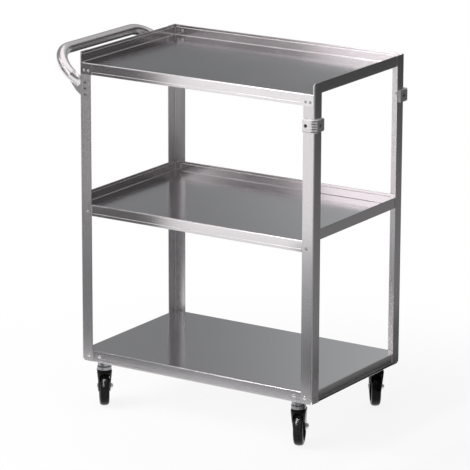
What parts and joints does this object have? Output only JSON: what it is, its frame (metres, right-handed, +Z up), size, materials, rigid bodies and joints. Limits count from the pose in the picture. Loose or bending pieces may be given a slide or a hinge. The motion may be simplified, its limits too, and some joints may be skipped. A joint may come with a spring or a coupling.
{
  "type": "utility cart",
  "caption": "Stainless utility cart: rimmed tray shelves riveted into angle legs, a bent tube push handle at one end, corner bumpers at the other and swivel casters below.",
  "frame": {"origin": "on the floor under the middle of the shelves", "axes": "+Z up, -X towards the handle, -Y towards the long side whose shelves have no rim"},
  "size_m": [0.7138, 0.4337, 0.8303],
  "materials": {
    "stainless_sheet": "brushed",
    "stainless_tube": "satin",
    "rivet_steel": "satin",
    "zinc_steel": "zinc plated",
    "bearing_steel": "polished",
    "fork_black": "gloss",
    "wheel_core_black": "satin",
    "tyre_black": "semi-gloss",
    "bumper_grey": "satin"
  },
  "bodies": {
    "cart_frame": {"shelf_top": "stainless_sheet", "shelf_middle": "stainless_sheet", "shelf_bottom": "stainless_sheet", "bolster_left": "stainless_sheet", "bolster_right": "stainless_sheet", "leg_front_left": "stainless_sheet", "leg_front_right": "stainless_sheet", "leg_back_left": "stainless_sheet", "leg_back_right": "stainless_sheet", "handle_tube": "stainless_tube", "top_shelf_rivets": "rivet_steel", "middle_shelf_rivets": "rivet_steel", "bottom_shelf_rivets": "rivet_steel", "bolster_rivets": "rivet_steel", "handle_rivets": "rivet_steel", "bumper_screws": "rivet_steel", "caster_stem_nuts": "zinc_steel", "caster_stem_washers": "zinc_steel", "bumper_front": "bumper_grey", "bumper_back": "bumper_grey", "kingpin_front_left": "zinc_steel", "upper_race_front_left": "zinc_steel", "kingpin_front_right": "zinc_steel", "upper_race_front_right": "zinc_steel", "kingpin_back_left": "zinc_steel", "upper_race_back_left": "zinc_steel", "kingpin_back_right": "zinc_steel", "upper_race_back_right": "zinc_steel"},
    "caster_front_left": {"fork_front_left": "fork_black", "lower_race_front_left": "zinc_steel", "race_balls_front_left": "bearing_steel", "axle_bolt_front_left": "zinc_steel", "axle_nut_front_left": "zinc_steel", "axle_sleeve_front_left": "zinc_steel"},
    "wheel_front_left": {"wheel_core_front_left": "wheel_core_black", "tyre_front_left": "tyre_black"},
    "caster_front_right": {"fork_front_right": "fork_black", "lower_race_front_right": "zinc_steel", "race_balls_front_right": "bearing_steel", "axle_bolt_front_right": "zinc_steel", "axle_nut_front_right": "zinc_steel", "axle_sleeve_front_right": "zinc_steel"},
    "wheel_front_right": {"wheel_core_front_right": "wheel_core_black", "tyre_front_right": "tyre_black"},
    "caster_back_left": {"fork_back_left": "fork_black", "lower_race_back_left": "zinc_steel", "race_balls_back_left": "bearing_steel", "axle_bolt_back_left": "zinc_steel", "axle_nut_back_left": "zinc_steel", "axle_sleeve_back_left": "zinc_steel"},
    "wheel_back_left": {"wheel_core_back_left": "wheel_core_black", "tyre_back_left": "tyre_black"},
    "caster_back_right": {"fork_back_right": "fork_black", "lower_race_back_right": "zinc_steel", "race_balls_back_right": "bearing_steel", "axle_bolt_back_right": "zinc_steel", "axle_nut_back_right": "zinc_steel", "axle_sleeve_back_right": "zinc_steel"},
    "wheel_back_right": {"wheel_core_back_right": "wheel_core_black", "tyre_back_right": "tyre_black"}
  },
  "joints": [
    {"name": "swivel_front_left", "type": "hinge", "parent": "cart_frame", "child": "caster_front_left", "pos_m": [-0.2598, -0.169, 0.10375], "axis": [0, 0, 1], "continuous": true},
    {"name": "roll_front_left", "type": "hinge", "parent": "caster_front_left", "child": "wheel_front_left", "pos_m": [-0.27665, -0.14664, 0.04445], "axis": [-0.7986, -0.6018, 0], "continuous": true},
    {"name": "swivel_front_right", "type": "hinge", "parent": "cart_frame", "child": "caster_front_right", "pos_m": [0.2598, -0.169, 0.10375], "axis": [0, 0, 1], "continuous": true},
    {"name": "roll_front_right", "type": "hinge", "parent": "caster_front_right", "child": "wheel_front_right", "pos_m": [0.24797, -0.14362, 0.04445], "axis": [-0.9063, -0.4226, 0], "continuous": true},
    {"name": "swivel_back_left", "type": "hinge", "parent": "cart_frame", "child": "caster_back_left", "pos_m": [-0.2598, 0.169, 0.10375], "axis": [0, 0, 1], "continuous": true},
    {"name": "roll_back_left", "type": "hinge", "parent": "caster_back_left", "child": "wheel_back_left", "pos_m": [-0.27422, 0.193, 0.04445], "axis": [-0.8572, -0.515, 0], "continuous": true},
    {"name": "swivel_back_right", "type": "hinge", "parent": "cart_frame", "child": "caster_back_right", "pos_m": [0.2598, 0.169, 0.10375], "axis": [0, 0, 1], "continuous": true},
    {"name": "roll_back_right", "type": "hinge", "parent": "caster_back_right", "child": "wheel_back_right", "pos_m": [0.24374, 0.19194, 0.04445], "axis": [-0.8192, -0.5736, 0], "continuous": true}
  ]
}
